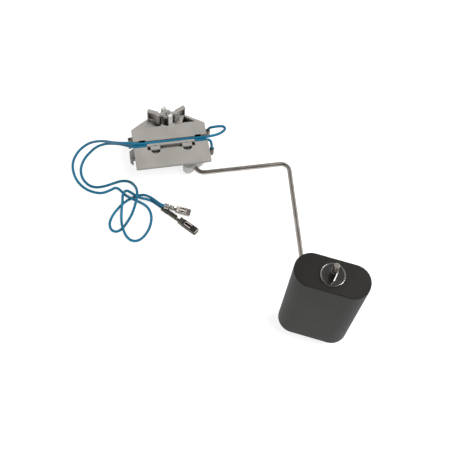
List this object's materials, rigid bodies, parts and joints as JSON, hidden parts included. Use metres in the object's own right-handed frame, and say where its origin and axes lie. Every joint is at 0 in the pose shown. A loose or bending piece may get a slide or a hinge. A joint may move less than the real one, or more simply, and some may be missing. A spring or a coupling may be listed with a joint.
{
  "type": "fuel level sender",
  "caption": "Resistive fuel level sender: grey moulded body with a pivoting bent wire arm, black foam float and two blue leads with crimp terminals.",
  "frame": {"origin": "on the arm's pivot axis, at the flat back face that lies against the pump module", "axes": "+Z along the pivot axis, out of the wire face; +Y from the wire face toward the pivot tower; +X to the right seen from the wire face"},
  "size_m": [0.1374, 0.1515, 0.0849],
  "materials": {
    "housing_plastic": "moulded warm light grey, satin",
    "cover_plastic": "moulded warm light grey, satin",
    "card_ceramic": "fired off-white card with printed tracks",
    "lug_brass": "dull stamped sheet",
    "lever_plastic": "natural milky white, slightly translucent",
    "spring_metal": "bright rolled strip",
    "contact_metal": "polished contact buttons",
    "arm_steel": "drawn wire, satin",
    "float_foam": "closed-cell black foam, matt with fine cells",
    "nut_steel": "polished spring steel",
    "lead_insulation": "blue insulation, smooth",
    "terminal_tin": "tinned sheet metal",
    "sleeve_steel": "thin bright spring steel"
  },
  "bodies": {
    "sensor_body": {"front_housing": "housing_plastic", "rear_cover": "cover_plastic", "resistor_card": "card_ceramic", "upper_contact_lug": "lug_brass", "lower_contact_lug": "lug_brass", "upper_lead": "lead_insulation", "lower_lead": "lead_insulation", "upper_lead_terminal": "terminal_tin", "upper_lead_sleeve": "sleeve_steel", "lower_lead_terminal": "terminal_tin", "lower_lead_sleeve": "sleeve_steel"},
    "swing_arm": {"float_arm": "arm_steel", "wiper_lever": "lever_plastic", "wiper_spring": "spring_metal", "inner_wiper_contact": "contact_metal", "outer_wiper_contact": "contact_metal", "left_spring_rivet": "spring_metal", "right_spring_rivet": "spring_metal", "push_nut": "nut_steel"},
    "float_body": {"float": "float_foam"}
  },
  "joints": [
    {"name": "arm_pivot", "type": "hinge", "parent": "sensor_body", "child": "swing_arm", "pos_m": [0, 0, 0], "axis": [0, 0, 1], "range_deg": [-64, 4]},
    {"name": "float_spin", "type": "hinge", "parent": "swing_arm", "child": "float_body", "pos_m": [0.0604, -0.13108, 0], "axis": [0, 0, 1], "continuous": true}
  ]
}
